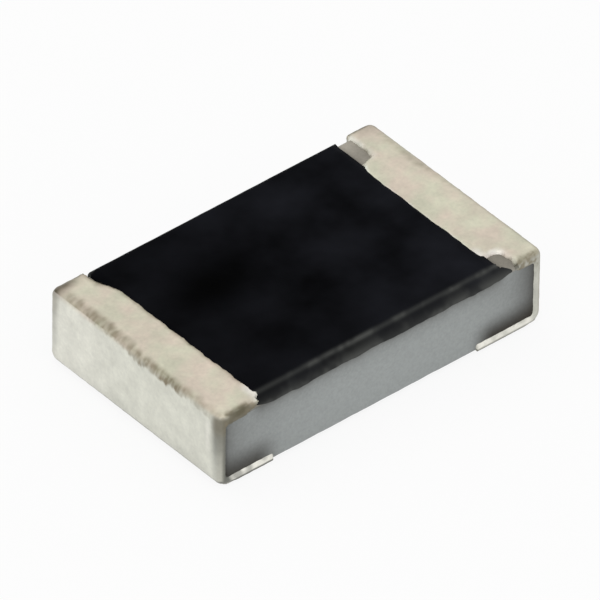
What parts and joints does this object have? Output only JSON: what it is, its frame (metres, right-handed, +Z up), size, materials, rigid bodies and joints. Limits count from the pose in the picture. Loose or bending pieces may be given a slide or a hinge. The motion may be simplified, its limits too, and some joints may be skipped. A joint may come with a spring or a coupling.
{
  "type": "smd chip resistor",
  "caption": "Flat thick-film chip resistor in the 0805 case, with a black overcoat, a grey ceramic body and tin-plated ends.",
  "frame": {"origin": "middle of the footprint, on the plane that the solder pads stand on", "axes": "+X along the body towards the right end, +Y across it, +Z up out of the circuit board"},
  "size_m": [0.002, 0.0012, 0.0004],
  "materials": {
    "alumina": "matt, as fired and snapped",
    "silver_print": "fired silver print",
    "resistive_paste": "fired resistive print",
    "undercoat_glass": "fired glass print",
    "black_epoxy": "printed epoxy, smooth with a low sheen",
    "end_alloy": "thin metal film",
    "nickel": "plated",
    "matte_tin": "matt tin plate"
  },
  "bodies": {
    "root": {"ceramic_substrate": "alumina", "top_electrode_left": "silver_print", "top_electrode_right": "silver_print", "bottom_electrode_left": "silver_print", "bottom_electrode_right": "silver_print", "resistive_film": "resistive_paste", "glass_undercoat": "undercoat_glass", "overcoat": "black_epoxy", "end_electrode_left": "end_alloy", "end_electrode_right": "end_alloy", "nickel_barrier_left": "nickel", "nickel_barrier_right": "nickel", "tin_plating_left": "matte_tin", "tin_plating_right": "matte_tin"}
  },
  "joints": []
}
